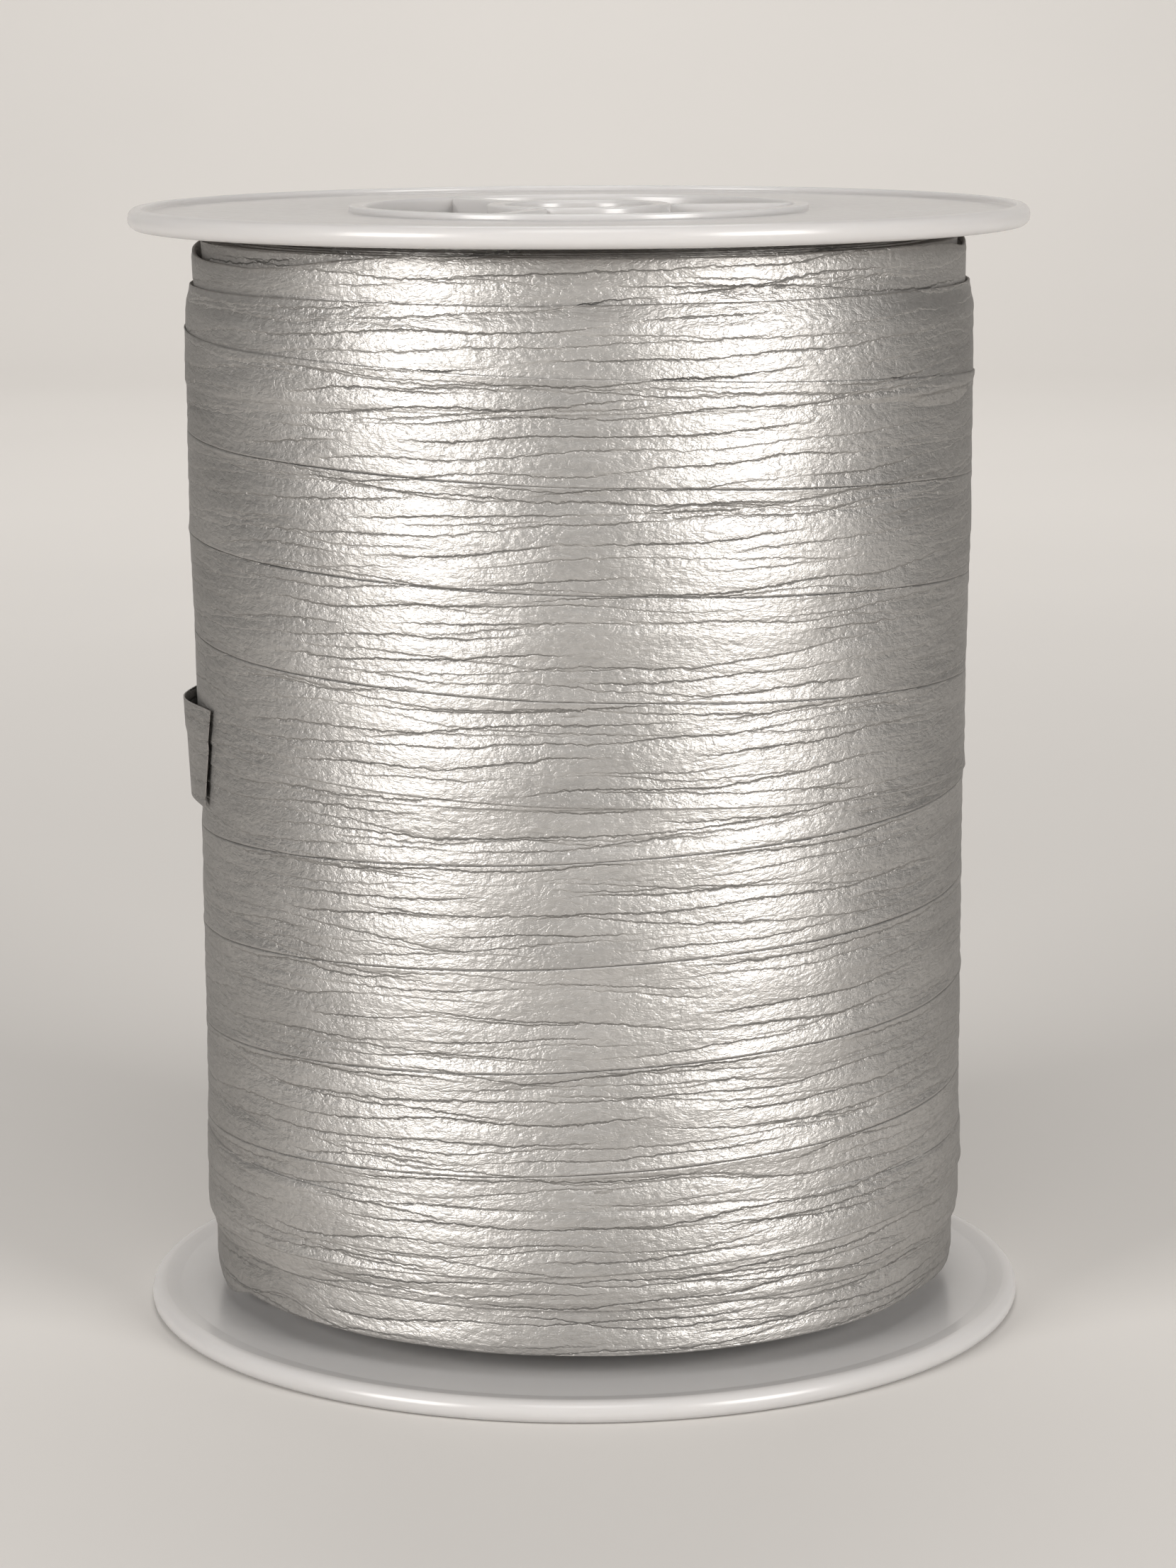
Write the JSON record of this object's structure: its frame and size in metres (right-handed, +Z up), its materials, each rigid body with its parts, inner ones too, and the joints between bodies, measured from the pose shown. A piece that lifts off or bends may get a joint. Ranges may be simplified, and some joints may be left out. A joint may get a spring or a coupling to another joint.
{
  "type": "ribbon reel",
  "caption": "Two-flange moulded reel wound full of flat ribbon, with a hollow spoked hub, a central spindle bore and the ribbon's free end springing off the winding.",
  "frame": {"origin": "centre of the lower flange's outer face, where the reel's axis meets the surface that it stands on", "axes": "+Z up along the reel's axis; the ribbon's free end lifts off the winding on the -X side"},
  "size_m": [0.09, 0.09, 0.1125],
  "materials": {
    "reel_plastic": "milky white moulded plastic, slightly translucent, polished",
    "ribbon": "silver metallic coat on paper-like foamed film, satin",
    "tape": "adhesive tape"
  },
  "bodies": {
    "reel": {"lower_half_flange": "reel_plastic", "lower_half_barrel": "reel_plastic", "lower_half_hub": "reel_plastic", "upper_half_flange": "reel_plastic", "upper_half_barrel": "reel_plastic", "upper_half_hub": "reel_plastic", "ribbon_first_turn": "ribbon", "ribbon_start_tape": "tape", "ribbon_pack": "ribbon", "ribbon_outer_layers": "ribbon", "ribbon_last_turn": "ribbon"},
    "free_end": {"ribbon_tail": "ribbon"}
  },
  "joints": [
    {"name": "free_end_lift", "type": "hinge", "parent": "reel", "child": "free_end", "pos_m": [-0.03868, 0.0074, 0.0585], "axis": [0, 0, -1], "range_deg": [0, 70], "stiffness_Nm_per_rad": 0.00005}
  ]
}
